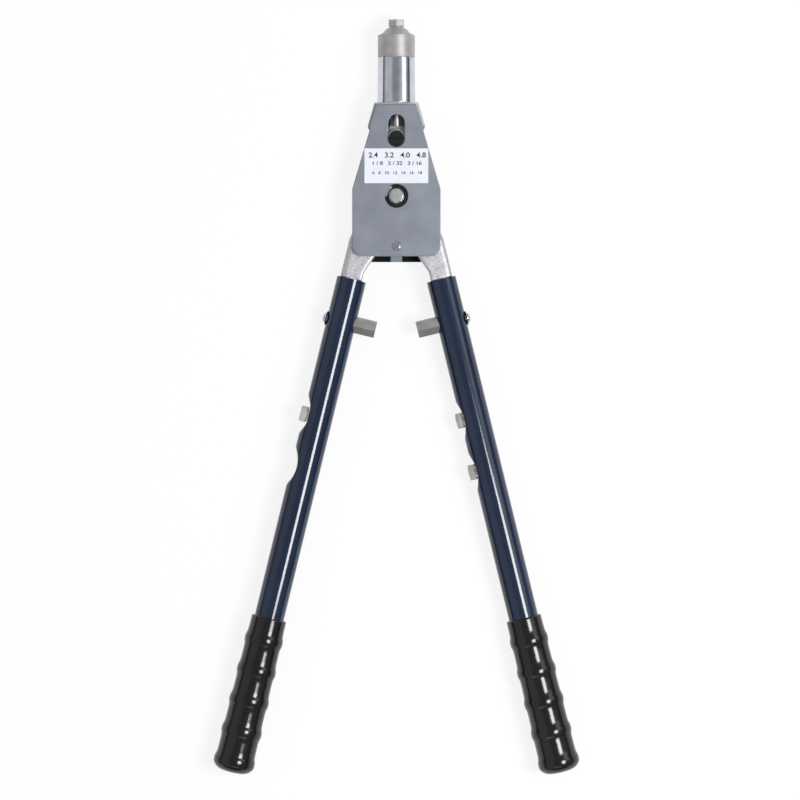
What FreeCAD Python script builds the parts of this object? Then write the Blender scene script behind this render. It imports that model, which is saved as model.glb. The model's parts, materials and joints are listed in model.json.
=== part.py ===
import FreeCAD, Part
import math
import os
import Sketcher
from FreeCAD import Placement, Rotation, Vector

# Long arm riveter, lying flat. The origin is the mouth of the nosepiece, +Y points out of the nose
# and +Z up from the table. Every piece is drawn about the arm pivot or about its own axis, and then
# placed from there. Lengths are in millimetres and angles in degrees.

SIZES = {
    # Overall layout
    "arm_half_angle": 13.68,
    "tube_offset": 17.2,
    "running_gap": 0.05,
    "free_gap": 0.3,
    # Head plates
    "plate_thick": 3.0,
    "plate_space": 17.0,
    "plate_top": 67.1,
    "plate_top_half": 15.7,
    "plate_rim": 1.5,
    "shoulder_level": 50.3,
    "shoulder_half": 20.5,
    "waist_level": 47.4,
    "waist_half": 19.1,
    "side_level": 5.0,
    "side_half": 31.6,
    "plate_bottom": 43.1,
    "plate_corner": 7.2,
    "rear_tab_half": 18.0,
    "rear_tab_drop": 3.6,
    "window_radius": 8.3,
    "key_width": 8.7,
    "key_reach": 2.7,
    "key_angle": 150.0,
    "key_root": 1.0,
    "slot_half": 5.75,
    "slot_rise": 11.6,
    "slot_play": 0.5,
    "block_leg": 10.0,
    "block_bridge": 6.6,
    # Barrel, cap and nosepiece
    "barrel_radius": 13.7,
    "barrel_end_radius": 13.3,
    "barrel_length": 32.7,
    "barrel_bore": 9.5,
    "barrel_floor": 3.4,
    "spigot_radius": 6.5,
    "thread_radius": 11.5,
    "thread_length": 7.0,
    "cap_length": 20.7,
    "cap_shoulder": 1.6,
    "cap_face_radius": 9.8,
    "cap_cone": 3.2,
    "cap_tip_radius": 7.0,
    "cap_bore_depth": 12.7,
    "nose_collar": 1.6,
    "nose_collar_radius": 6.2,
    "nose_neck_radius": 5.3,
    "nose_hex_flats": 11.0,
    "nose_hex_height": 4.7,
    "nose_stub_radius": 4.0,
    "nose_stub_length": 11.0,
    "nose_stub_taper": 2.5,
    "nose_bore": 1.6,
    # Puller, jaws and slide screw
    "slide_level": 41.0,
    "slide_shank": 3.0,
    "slide_head_radius": 5.6,
    "slide_head_height": 2.0,
    "driver_slot": 1.2,
    "clevis_half": 6.0,
    "clevis_thick": 8.0,
    "clevis_below": 5.0,
    "clevis_above": 9.5,
    "clevis_shoulder": 3.0,
    "rod_radius": 4.0,
    "rod_stub_radius": 3.0,
    "rod_stub_length": 5.7,
    "case_level": 73.0,
    "case_radius": 9.2,
    "case_length": 27.5,
    "case_floor": 6.0,
    "case_bore": 6.5,
    "case_bore_depth": 16.5,
    "case_mouth": 3.5,
    "jaw_gap": 0.2,
    "jaw_split": 0.7,
    "jaw_bore": 1.3,
    "jaw_length": 10.3,
    "pusher_length": 3.0,
    "spring_wire": 0.5,
    "spring_radius": 4.6,
    "spring_turns": 4.0,
    # Arm pivot
    "sleeve_radius": 5.0,
    "bolt_radius": 3.0,
    "bolt_flats": 9.6,
    "bolt_head_flats": 9.0,
    "bolt_head": 4.0,
    "nut_height": 2.4,
    "bush_height": 2.0,
    "washer_radius": 5.4,
    "washer_height": 1.0,
    # Bottom rivet
    "rivet_level": 35.9,
    "rivet_radius": 2.0,
    "rivet_head_radius": 3.5,
    "rivet_crown_radius": 2.6,
    "rivet_head_height": 0.9,
    "spacer_radius": 4.0,
    # Label on the front plate
    "label_width": 45.7,
    "label_height": 24.9,
    "label_level": 21.5,
    "label_thick": 0.15,
    # Arm castings, links and their pins
    "arm_thick": 16.6,
    "hub_radius": 8.0,
    "hub_clear": 9.4,
    "lap_gap": 0.2,
    "ear_out": 13.9,
    "ear_up": 1.6,
    "ear_radius": 5.5,
    "ear_thick": 3.9,
    "neck_outer": 8.4,
    "neck_inner": 7.4,
    "lap_inset": 1.2,
    "inner_knee": 1.5,
    "inner_knee_level": 38.0,
    "crotch_out": 4.0,
    "crotch_level": 43.0,
    "crotch_foot_level": 58.3,
    "heel_level": 38.0,
    "heel_bend_out": 22.7,
    "heel_bend_level": 20.0,
    "plug_length": 42.0,
    "casting_round": 3.4,
    "link_thick": 3.5,
    "link_top_radius": 7.0,
    "link_foot_radius": 5.0,
    "link_width": 8.0,
    "link_play": 0.7,
    "pin_radius": 2.5,
    "pin_head_radius": 4.2,
    "pin_head_height": 0.4,
    # Tubes, dents and stops
    "tube_start": 65.3,
    "tube_radius": 10.65,
    "tube_wall": 2.3,
    "dent_first": 167.2,
    "dent_pitch": 38.1,
    "dent_depth": 4.3,
    "dent_punch": 23.0,
    "dent_seat": 6.7,
    "right_dent_turn": 12.0,
    "stop_level": 96.5,
    "stop_reach": 25.2,
    "stop_flats": 11.0,
    "stop_turn": 11.0,
    "stop_saddle": 1.6,
    "stop_screw_radius": 2.5,
    "stop_screw_depth": 9.0,
    "stop_head_radius": 4.0,
    "stop_head_height": 2.6,
    "stop_washer_radius": 5.0,
    "stop_washer_height": 0.8,
    # Grips
    "grip_start": 315.3,
    "grip_length": 114.0,
    "grip_top_radius": 12.65,
    "grip_end_radius": 14.0,
    "grip_waves": 5,
    "ring_first": 16.7,
    "ring_last": 7.8,
    "ring_half": 7.0,
    "ring_height": 1.0,
    "grip_cap": 5.3,
    "grip_cap_reach": 8.5,
    "grip_floor": 4.0,
}


class Size:
    """A length together with the sheet expression that gives it."""

    def __init__(self, value, text):
        self.value = value
        self.text = text

    def __add__(self, other):
        other = as_size(other)
        return Size(self.value + other.value, f"({self.text} + {other.text})")

    def __sub__(self, other):
        other = as_size(other)
        return Size(self.value - other.value, f"({self.text} - {other.text})")

    def __mul__(self, other):
        other = as_size(other)
        return Size(self.value * other.value, f"({self.text} * {other.text})")

    def __truediv__(self, other):
        other = as_size(other)
        return Size(self.value / other.value, f"({self.text} / {other.text})")

    def __neg__(self):
        return Size(-self.value, f"(0 - {self.text})")


def as_size(number):
    return number if isinstance(number, Size) else Size(float(number), repr(float(number)))


def root(size):
    return Size(math.sqrt(size.value), f"sqrt({size.text})")


class Sheet:
    """Gives each cell of the spreadsheet by its alias."""

    def __init__(self, document):
        self.page = document.addObject("Spreadsheet::Sheet", "Sizes")
        for row, (alias, number) in enumerate(SIZES.items(), start=1):
            self.page.set(f"A{row}", alias)
            self.page.set(f"B{row}", str(number))
            self.page.setAlias(f"B{row}", alias)

    def __getattr__(self, alias):
        return Size(float(SIZES[alias]), f"Sizes.{alias}")


doc = FreeCAD.newDocument("long_arm_riveter")
s = Sheet(doc)
doc.recompute()

TURNS = {
    "X": Rotation(Vector(0, 1, 0), 90),
    "Y": Rotation(Vector(1, 0, 0), -90),
    "Z": Rotation(),
}
EDGE_UP = 30.0
BOLT_UP = 12.0
nodes = []


# Sketches

def origin_plane(body, role):
    return next(item for item in body.Origin.OriginFeatures if item.Role == role)


def hold(sketch, kind, edge, corner, size):
    """Fixes one coordinate of a corner, or a radius, to a size of the sheet."""
    if kind == "Radius":
        number = sketch.addConstraint(Sketcher.Constraint(kind, edge, size.value))
    else:
        number = sketch.addConstraint(Sketcher.Constraint(kind, -1, 1, edge, corner, size.value))
    sketch.setExpression(f"Constraints[{number}]", size.text)


def arc_between(start, end, radius):
    """The short arc from start to end, counterclockwise where radius is positive."""
    chord = end - start
    middle = (start + end) * 0.5
    side = Vector(-chord.y, chord.x, 0).normalize()
    rise = math.sqrt(radius ** 2 - chord.Length ** 2 / 4)
    direction = 1 if radius > 0 else -1
    centre = middle + side * rise * direction
    return Part.Arc(start, centre - side * abs(radius) * direction, end)


def draw_loop(sketch, points):
    """Draws a closed loop. A point (x, y, radius) starts an arc, and (x, y) starts a line."""
    first = sketch.GeometryCount
    count = len(points)
    heads = []
    tails = []
    for index, point in enumerate(points):
        start = Vector(as_size(point[0]).value, as_size(point[1]).value, 0)
        target = points[(index + 1) % count]
        end = Vector(as_size(target[0]).value, as_size(target[1]).value, 0)
        if len(point) == 3:
            sketch.addGeometry(arc_between(start, end, point[2].value))
            backwards = point[2].value < 0
        else:
            sketch.addGeometry(Part.LineSegment(start, end))
            backwards = False
        heads.append(2 if backwards else 1)
        tails.append(1 if backwards else 2)
    for index, point in enumerate(points):
        edge = first + index
        before = first + (index - 1) % count
        joint = Sketcher.Constraint("Coincident", before, tails[index - 1], edge, heads[index])
        sketch.addConstraint(joint)
        hold(sketch, "DistanceX", edge, heads[index], as_size(point[0]))
        hold(sketch, "DistanceY", edge, heads[index], as_size(point[1]))
        if len(point) == 3:
            length = point[2] if point[2].value > 0 else -point[2]
            hold(sketch, "Radius", edge, 0, length)


def draw_circle(sketch, x, y, radius):
    centre = Vector(as_size(x).value, as_size(y).value, 0)
    edge = sketch.addGeometry(Part.Circle(centre, Vector(0, 0, 1), radius.value))
    hold(sketch, "DistanceX", edge, 3, as_size(x))
    hold(sketch, "DistanceY", edge, 3, as_size(y))
    hold(sketch, "Radius", edge, 0, radius)


def new_sketch(body, role):
    sketch = body.newObject("Sketcher::SketchObject", body.Name + "_outline")
    sketch.AttachmentSupport = (origin_plane(body, role), [""])
    sketch.MapMode = "FlatFace"
    return sketch


def padded(name, loops, circles, thickness):
    """A flat body on the XY plane with its inner loops and circles open."""
    body = doc.addObject("PartDesign::Body", name)
    sketch = new_sketch(body, "XY_Plane")
    for loop in loops:
        draw_loop(sketch, loop)
    for circle in circles:
        draw_circle(sketch, *circle)
    pad = body.newObject("PartDesign::Pad", name + "_pad")
    pad.Profile = sketch
    pad.setExpression("Length", thickness.text)
    doc.recompute()
    return body


def turned(name, role, points):
    """A round body: an outline of (radius, level) points turned about the sketch's upright axis."""
    body = doc.addObject("PartDesign::Body", name)
    sketch = new_sketch(body, role)
    draw_loop(sketch, points)
    spin = body.newObject("PartDesign::Revolution", name + "_spin")
    spin.Profile = sketch
    spin.ReferenceAxis = (sketch, ["V_Axis"])
    spin.Angle = 360
    doc.recompute()
    return body


# Primitives and booleans

def bind(item, sizes):
    for field, size in sizes.items():
        item.setExpression(field, as_size(size).text)


def set_base(item, place):
    """Binds the place of a primitive to the sheet."""
    for letter, size in zip("xyz", place):
        item.setExpression(f"Placement.Base.{letter}", as_size(size).text)


def rod(name, radius, length, place, axis="Z"):
    item = doc.addObject("Part::Cylinder", name)
    item.Placement = Placement(Vector(), TURNS[axis])
    bind(item, {"Radius": radius, "Height": length})
    set_base(item, place)
    return item


def block(name, width, depth, height, place=()):
    item = doc.addObject("Part::Box", name)
    bind(item, {"Length": width, "Width": depth, "Height": height})
    set_base(item, place)
    return item


def hexagon(name, flats, height, place, axis="Z", turn=0.0):
    item = doc.addObject("Part::Prism", name)
    item.Polygon = 6
    item.Placement = Placement(Vector(), TURNS[axis] * Rotation(Vector(0, 0, 1), turn))
    bind(item, {"Circumradius": flats / root(as_size(3)), "Height": height})
    set_base(item, place)
    return item


def joined(name, items):
    item = doc.addObject("Part::MultiFuse", name)
    item.Shapes = items
    return item


def drilled(name, base, tools):
    """The base without the tools."""
    item = doc.addObject("Part::Cut", name)
    item.Base = base
    item.Tool = tools[0] if len(tools) == 1 else joined(name + "_tools", tools)
    return item


def finish(item, frame):
    """Places a sub-part and puts it on the list of nodes."""
    item.Placement = frame
    nodes.append(item)


# Frames of the moving groups

def move(x, y, z):
    return Placement(Vector(x, y, z), Rotation())


def turn(axis, angle):
    return Placement(Vector(), Rotation(axis, angle))


ABOUT_Y = Vector(0, 1, 0)
ABOUT_Z = Vector(0, 0, 1)
# Levels that several pieces share, from the pivot
inner_face = s.plate_space / 2
outer_face = inner_face + s.plate_thick
barrel_top = s.plate_top + s.barrel_length
cap_top = barrel_top + s.cap_length
nose_mouth = cap_top + s.nose_collar + s.nose_hex_height
tube_bore = s.tube_radius - s.tube_wall
tube_end = s.grip_start + s.grip_length - s.grip_floor

HEAD = move(0, -nose_mouth.value, 0)
TURNED_OVER = turn(ABOUT_Y, 180)
LEFT_ARM = HEAD * turn(ABOUT_Z, -s.arm_half_angle.value)
RIGHT_ARM = HEAD * turn(ABOUT_Z, s.arm_half_angle.value) * TURNED_OVER
ARMS = {"left": LEFT_ARM, "right": RIGHT_ARM}


# Head plates

def plate_outline(tab, rim):
    """The plate's outline from the bottom right corner round to the bottom left corner.

    Above its waist the front plate stands back by a rim, so that the head block's edge shows.
    """
    low = -s.plate_bottom
    corner_level = low + s.plate_corner
    corner_half = s.side_half - s.plate_corner
    right = [
        (corner_half, low, s.plate_corner),
        (s.side_half, corner_level),
        (s.side_half, s.side_level),
        (s.waist_half, s.waist_level),
        (s.shoulder_half - rim, s.shoulder_level),
        (s.plate_top_half - rim, s.plate_top - rim),
    ]
    left = [
        (rim - s.plate_top_half, s.plate_top - rim),
        (rim - s.shoulder_half, s.shoulder_level),
        (-s.waist_half, s.waist_level),
        (-s.side_half, s.side_level),
        (-s.side_half, corner_level, s.plate_corner),
        (-corner_half, low),
    ]
    if not tab:
        return right + left
    edge = low - s.rear_tab_drop
    tongue = [
        (-s.rear_tab_half, low),
        (-s.rear_tab_half, edge),
        (s.rear_tab_half, edge),
        (s.rear_tab_half, low),
    ]
    return right + left + tongue


def slot_outline(half):
    """A slot of the given half width; both plates' slots end at the same levels."""
    low = s.slide_level - s.slot_half
    top = s.slide_level + s.slot_rise + s.slot_half
    return [
        (half, low + half),
        (half, top - half, half),
        (0, top, half),
        (-half, top - half),
        (-half, low + half, half),
        (0, low, half),
    ]


def key_bar(name, extra, angle):
    """The bar that keeps a pivot bush from turning: a box across the window's rim."""
    start = s.window_radius - s.key_reach - extra
    width = s.key_width + extra * 2
    bar = block(name, s.key_reach + extra + s.key_root, width, s.plate_thick)
    bar.Placement = turn(ABOUT_Z, angle.value) * move(start.value, -width.value / 2, 0)
    return bar


def make_plate(name, tab, level, rim, slot_half):
    circles = [
        (0, 0, s.window_radius),
        (0, -s.rivet_level, s.rivet_radius + s.running_gap),
    ]
    plate = padded(name + "_sheet", [plate_outline(tab, rim), slot_outline(slot_half)], circles, s.plate_thick)
    finish(joined(name, [plate, key_bar(name + "_key", as_size(0), s.key_angle)]), HEAD * move(0, 0, level.value))


def make_head_block():
    deck = s.plate_top - s.block_bridge
    loop = [
        (s.block_leg, s.shoulder_level),
        (s.shoulder_half, s.shoulder_level),
        (s.plate_top_half, s.plate_top),
        (-s.plate_top_half, s.plate_top),
        (-s.shoulder_half, s.shoulder_level),
        (-s.block_leg, s.shoulder_level),
        (-s.block_leg, deck),
        (s.block_leg, deck),
    ]
    slab = padded("head_block_slab", [loop], [], s.plate_space)
    hole = rod("head_block_hole", s.spigot_radius + s.running_gap, s.block_bridge * 3,
               (0, deck - s.block_bridge, inner_face), "Y")
    finish(drilled("head_block", slab, [hole]), HEAD * move(0, 0, -inner_face.value))


# Nose end

def make_barrel():
    spigot_foot = s.plate_top - s.block_bridge
    floor = s.plate_top + s.barrel_floor
    thread_top = barrel_top + s.thread_length
    guide = s.rod_radius + s.running_gap
    finish(turned("barrel", "XY_Plane", [
        (guide, spigot_foot),
        (s.spigot_radius, spigot_foot),
        (s.spigot_radius, s.plate_top),
        (s.barrel_radius, s.plate_top),
        (s.barrel_end_radius, barrel_top),
        (s.thread_radius, barrel_top),
        (s.thread_radius, thread_top),
        (s.barrel_bore, thread_top),
        (s.barrel_bore, floor),
        (guide, floor),
    ]), HEAD)


def make_nose_cap():
    socket_top = barrel_top + s.thread_length + s.running_gap
    chamber_top = barrel_top + s.cap_bore_depth
    face = cap_top - s.cap_cone
    shoulder = face - s.cap_shoulder
    hole = s.nose_stub_radius + s.running_gap
    finish(turned("nose_cap", "XY_Plane", [
        (s.thread_radius + s.running_gap, barrel_top),
        (s.barrel_end_radius, barrel_top),
        (s.barrel_end_radius, shoulder),
        (s.cap_face_radius, face),
        (s.cap_tip_radius, cap_top),
        (hole, cap_top),
        (hole, chamber_top),
        (s.barrel_bore, chamber_top),
        (s.barrel_bore, socket_top),
        (s.thread_radius + s.running_gap, socket_top),
    ]), HEAD)


def make_nosepiece(name, frame):
    """A nosepiece with its mouth at the frame's origin, pointing along +Y."""
    collar_top = -s.nose_hex_height
    collar_foot = collar_top - s.nose_collar
    stub_foot = collar_foot - s.nose_stub_length
    stem = turned(name + "_stem", "XY_Plane", [
        (0, stub_foot),
        (s.nose_stub_radius - s.nose_stub_taper / 2, stub_foot),
        (s.nose_stub_radius, stub_foot + s.nose_stub_taper),
        (s.nose_stub_radius, collar_foot),
        (s.nose_collar_radius, collar_foot),
        (s.nose_neck_radius, collar_top),
        (0, collar_top),
    ])
    top = hexagon(name + "_hexagon", s.nose_hex_flats, s.nose_hex_height,
                  (0, collar_top, 0), "Y", EDGE_UP)
    bore = rod(name + "_bore", s.nose_bore, s.nose_stub_length * 3, (0, stub_foot - 1, 0), "Y")
    finish(drilled(name, joined(name + "_blank", [stem, top]), [bore]), frame)


# Puller

def make_pull_rod():
    foot = s.slide_level + s.clevis_above - s.rod_stub_length
    shoulder = s.slide_level + s.clevis_above
    top = s.case_level + s.case_floor
    finish(turned("pull_rod", "XY_Plane", [
        (0, foot),
        (s.rod_stub_radius, foot),
        (s.rod_stub_radius, shoulder),
        (s.rod_radius, shoulder),
        (s.rod_radius, s.case_level),
        (s.rod_stub_radius, s.case_level),
        (s.rod_stub_radius, top),
        (0, top),
    ]), HEAD)


def make_clevis():
    foot = s.slide_level - s.clevis_below
    top = s.slide_level + s.clevis_above
    narrow = s.clevis_half - s.clevis_shoulder / 2
    loop = [
        (s.clevis_half, foot),
        (s.clevis_half, top - s.clevis_shoulder),
        (narrow, top),
        (-narrow, top),
        (-s.clevis_half, top - s.clevis_shoulder),
        (-s.clevis_half, foot),
    ]
    eye = (0, s.slide_level, s.slide_shank + s.running_gap)
    slab = padded("puller_clevis_slab", [loop], [eye], s.clevis_thick)
    socket = rod("puller_clevis_socket", s.rod_stub_radius + s.running_gap, s.clevis_above,
                 (0, top - s.rod_stub_length - s.running_gap, s.clevis_thick / 2), "Y")
    finish(drilled("puller_clevis", slab, [socket]), HEAD * move(0, 0, -s.clevis_thick.value / 2))


def make_jaw_case():
    socket = s.rod_stub_radius + s.running_gap
    floor = s.case_level + s.case_floor
    cone = s.case_level + s.case_bore_depth
    case_top = s.case_level + s.case_length
    finish(turned("jaw_case", "XY_Plane", [
        (socket, s.case_level),
        (s.case_radius, s.case_level),
        (s.case_radius, case_top),
        (s.case_mouth, case_top),
        (s.case_bore, cone),
        (s.case_bore, floor),
        (socket, floor),
    ]), HEAD)


def make_jaws():
    """Three jaws on the cone of the jaw case, split by thin radial gaps."""
    foot = s.case_level + s.case_bore_depth
    slope = (s.case_bore - s.case_mouth) / (s.case_length - s.case_bore_depth)
    base = s.case_bore - s.jaw_gap
    cone = turned("jaw_cone", "XY_Plane", [
        (s.jaw_bore, foot),
        (base, foot),
        (base - slope * s.jaw_length, foot + s.jaw_length),
        (s.jaw_bore, foot + s.jaw_length),
    ])
    splits = []
    for index in range(3):
        split = block(f"jaw_split_{index}", s.case_bore * 2, s.jaw_length * 2, s.jaw_split)
        corner = move(0, (foot - s.jaw_length / 2).value, -s.jaw_split.value / 2)
        split.Placement = turn(ABOUT_Y, 120.0 * index) * corner
        splits.append(split)
    finish(drilled("jaws", cone, splits), HEAD)


def make_pusher():
    top = s.case_level + s.case_bore_depth - s.jaw_gap
    foot = top - s.pusher_length
    rim = s.case_bore - s.jaw_gap
    finish(turned("jaw_pusher", "XY_Plane", [
        (s.jaw_bore, foot),
        (rim, foot),
        (rim, top),
        (s.jaw_bore, top),
    ]), HEAD)


def make_spring():
    """The spring that holds the jaws forward in their cone."""
    foot = s.case_level + s.case_floor + s.spring_wire * 2
    top = s.case_level + s.case_bore_depth - s.jaw_gap - s.pusher_length - s.spring_wire * 2
    body = doc.addObject("PartDesign::Body", "jaw_spring")
    sketch = new_sketch(body, "XY_Plane")
    draw_circle(sketch, s.spring_radius, foot, s.spring_wire)
    coil = body.newObject("PartDesign::AdditiveHelix", "jaw_spring_coil")
    coil.Profile = sketch
    coil.ReferenceAxis = (sketch, ["V_Axis"])
    coil.Mode = "pitch-turns-angle"
    coil.setExpression("Pitch", ((top - foot) / s.spring_turns).text)
    coil.setExpression("Turns", s.spring_turns.text)
    finish(body, HEAD)


def make_slide_screw():
    face = outer_face + s.lap_gap
    head_top = face + s.slide_head_height
    foot = -face - s.nut_height
    screw = turned("slide_screw_blank", "XZ_Plane", [
        (0, foot),
        (s.slide_shank, foot),
        (s.slide_shank, face),
        (s.slide_head_radius, face),
        (s.slide_head_radius, head_top),
        (0, head_top),
    ])
    cross = block("slide_screw_slot", s.slide_head_radius * 4, s.driver_slot, s.slide_head_height,
                  (-s.slide_head_radius * 2, -s.driver_slot / 2, head_top - s.slide_head_height / 2))
    finish(drilled("slide_screw", screw, [cross]), HEAD * move(0, s.slide_level.value, 0))


def make_nut(name, radius, level, frame):
    """A nut whose upper face is at the given level."""
    blank = hexagon(name + "_blank", s.bolt_flats, s.nut_height, (0, 0, level - s.nut_height))
    hole = rod(name + "_hole", radius + s.running_gap, s.nut_height * 3, (0, 0, level - s.nut_height * 2))
    finish(drilled(name, blank, [hole]), frame)


# Arm pivot

def make_pivot_bolt():
    foot = -outer_face - s.nut_height
    shank = rod("pivot_bolt_shank", s.bolt_radius, outer_face - foot, (0, 0, foot))
    head = hexagon("pivot_bolt_head", s.bolt_head_flats, s.bolt_head, (0, 0, outer_face), turn=BOLT_UP)
    finish(joined("pivot_bolt", [shank, head]), HEAD)


def ring(name, outer, inner, start, height):
    return turned(name, "XZ_Plane", [
        (inner, start),
        (outer, start),
        (outer, start + height),
        (inner, start + height),
    ])


def make_pivot_stack():
    """Sleeve, keyed bushes and washers round the pivot bolt, the same on both faces of the head."""
    hole = s.bolt_radius + s.running_gap
    finish(ring("pivot_sleeve", s.sleeve_radius, hole, -inner_face, s.plate_space), HEAD)
    for name, side in (("front", HEAD), ("rear", HEAD * TURNED_OVER)):
        rim = s.window_radius - s.running_gap * 2
        blank = ring(f"{name}_bush_blank", rim, hole, as_size(0), s.bush_height)
        angle = s.key_angle if name == "front" else as_size(180) - s.key_angle
        key = key_bar(f"{name}_bush_key", s.running_gap * 2, angle)
        finish(drilled(f"{name}_bush", blank, [key]), side * move(0, 0, inner_face.value))
        washer = ring(f"{name}_washer", s.washer_radius, hole, inner_face + s.bush_height, s.washer_height)
        finish(washer, side)


# Bottom rivet and label

def make_bottom_rivet():
    spot = HEAD * move(0, -s.rivet_level.value, 0)
    hole = s.rivet_radius + s.running_gap
    finish(ring("bottom_spacer", s.spacer_radius, hole, -inner_face, s.plate_space), spot)
    top = outer_face + s.rivet_head_height
    crown = s.rivet_crown_radius
    finish(turned("bottom_rivet", "XZ_Plane", [
        (0, -top),
        (crown, -top),
        (s.rivet_head_radius, -outer_face),
        (s.rivet_radius, -outer_face),
        (s.rivet_radius, outer_face),
        (s.rivet_head_radius, outer_face),
        (crown, top),
        (0, top),
    ]), spot)


def make_label():
    half = s.label_width / 2
    low = s.label_level - s.label_height / 2
    high = s.label_level + s.label_height / 2
    loop = [(-half, low), (half, low), (half, high), (-half, high)]
    finish(padded("label", [loop], [], s.label_thick), HEAD * move(0, 0, outer_face.value))


# Arm castings and links. Everything here is drawn for the left arm, whose outer side is at -X.
# The right arm has the same pieces turned over.

def casting_outline():
    """Outer shape of the casting, from the lap corner down the inner edge and up the outer edge."""
    inner = -(s.tube_offset - s.neck_inner)
    outer = -(s.tube_offset + s.neck_outer)
    foot = -s.tube_start
    brow = s.ear_up - s.link_foot_radius - s.free_gap * 4
    return [
        (-s.lap_inset, -s.hub_clear),
        (-s.hub_radius, brow),
        (-s.ear_out - s.ear_radius / 2, brow),
        (-s.heel_bend_out, -s.heel_bend_level),
        (outer, -s.heel_level),
        (outer, foot),
        (inner, foot),
        (inner, -s.crotch_foot_level),
        (-s.crotch_out, -s.crotch_level),
        (-s.inner_knee, -s.inner_knee_level),
    ]


def round_outer_edges(body, reach):
    """Rounds the long edges on the casting's outer side, front and rear."""
    pad = body.Tip
    names = []
    for index, edge in enumerate(pad.Shape.Edges, start=1):
        ends = [vertex.Point for vertex in edge.Vertexes]
        flat = len(ends) == 2 and abs(ends[0].z - ends[1].z) < 0.01
        if flat and max(point.x for point in ends) < reach and edge.Length > s.plate_corner.value:
            names.append(f"Edge{index}")
    fillet = body.newObject("PartDesign::Fillet", body.Name + "_round")
    fillet.Base = (pad, names)
    fillet.setExpression("Radius", s.casting_round.text)
    doc.recompute()


def make_arm_head(side):
    name = f"{side}_arm_head"
    half = s.arm_thick / 2
    lap = s.lap_gap / 2
    slab = padded(name + "_slab", [casting_outline()], [], s.arm_thick)
    round_outer_edges(slab, -s.tube_offset.value)
    slab.Placement = move(0, 0, -half.value)
    relief = rod(name + "_relief", s.hub_clear, half + lap, (0, 0, -half))
    body = drilled(name + "_relieved", slab, [relief])
    hub = rod(name + "_hub", s.hub_radius, half - lap, (0, 0, lap))
    web = block(name + "_web", s.hub_radius - s.lap_inset, s.hub_clear + 4, half - lap,
                (-s.hub_radius, -s.hub_clear - 4, lap))
    ear = rod(name + "_ear", s.ear_radius, s.ear_thick, (-s.ear_out, s.ear_up, lap))
    ear_web = block(name + "_ear_web", s.ear_out + s.ear_radius - s.sleeve_radius, s.ear_up + s.hub_radius,
                    s.ear_thick, (-s.ear_out - s.ear_radius, -s.hub_radius, lap))
    plug = rod(name + "_plug", tube_bore - s.running_gap * 2, s.plug_length,
               (-s.tube_offset, -s.tube_start - s.plug_length, 0), "Y")
    blank = joined(name + "_blank", [body, hub, web, ear, ear_web, plug])
    bore = rod(name + "_bore", s.sleeve_radius + s.running_gap, s.arm_thick, (0, 0, -half))
    eye = rod(name + "_eye", s.pin_radius + s.running_gap, s.arm_thick, (-s.ear_out, s.ear_up, -half))
    bolt = rod(name + "_bolt_hole", s.stop_screw_radius + s.running_gap, s.tube_offset * 2,
               (-s.tube_offset * 2, -s.stop_level, 0), "X")
    finish(drilled(name, blank, [bore, eye, bolt]), ARMS[side])


def link_geometry():
    """Distance from the slide screw to the ear pin, and the link's tilt from straight down."""
    angle = math.radians(s.arm_half_angle.value)
    cosine = Size(math.cos(angle), "cos(Sizes.arm_half_angle)")
    sine = Size(math.sin(angle), "sin(Sizes.arm_half_angle)")
    across = s.ear_out * cosine - s.ear_up * sine
    down = s.slide_level - (s.ear_out * sine + s.ear_up * cosine)
    tilt = math.degrees(math.atan2(across.value, down.value))
    return root(across * across + down * down), tilt


def make_link(side):
    name = f"{side}_link"
    length, tilt = link_geometry()
    start = s.clevis_thick / 2 + s.free_gap
    top = rod(name + "_top", s.link_top_radius, s.link_thick, (0, 0, start))
    foot = rod(name + "_foot", s.link_foot_radius, s.link_thick, (0, -length, start))
    bar = block(name + "_bar", s.link_width, length, s.link_thick, (-s.link_width / 2, -length, start))
    hole = rod(name + "_hole", s.slide_shank + s.running_gap, s.link_thick * 3, (0, 0, start - s.link_thick))
    eye = rod(name + "_eye", s.pin_radius + s.link_play, s.link_thick * 3,
              (0, -length, start - s.link_thick))
    frame = HEAD * move(0, s.slide_level.value, 0)
    if side == "left":
        frame = frame * turn(ABOUT_Z, -tilt)
    else:
        frame = frame * turn(ABOUT_Z, tilt) * TURNED_OVER
    finish(drilled(name, joined(name + "_blank", [top, foot, bar]), [hole, eye]), frame)


def make_link_pin(side):
    start = s.lap_gap / 2
    neck = s.clevis_thick / 2 + s.free_gap + s.link_thick + s.lap_gap / 2
    frame = ARMS[side] * move(-s.ear_out.value, s.ear_up.value, 0)
    finish(turned(f"{side}_link_pin", "XZ_Plane", [
        (0, start),
        (s.pin_radius, start),
        (s.pin_radius, neck),
        (s.pin_head_radius, neck),
        (s.pin_head_radius, neck + s.pin_head_height),
        (0, neck + s.pin_head_height),
    ]), frame)


# Tubes and what is on them. A tube's own axis is its Y axis, and its dents face -X before the turn.

def dent_levels():
    return [-s.dent_first, -(s.dent_first + s.dent_pitch)]


def tube_frame(side):
    return ARMS[side] * move(-s.tube_offset.value, 0, 0)


def dent_turn(side):
    return 0.0 if side == "left" else 180.0 - s.right_dent_turn.value


def dents(name, grown):
    """The two round punches that press the dents, grown by the wall for the inner side."""
    punches = []
    for index, level in enumerate(dent_levels()):
        centre = -(s.tube_radius - s.dent_depth + s.dent_punch)
        punches.append(rod(f"{name}_{index}", s.dent_punch + grown, s.tube_radius * 4,
                           (centre, level, -s.tube_radius * 2)))
    return joined(name, punches)


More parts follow.
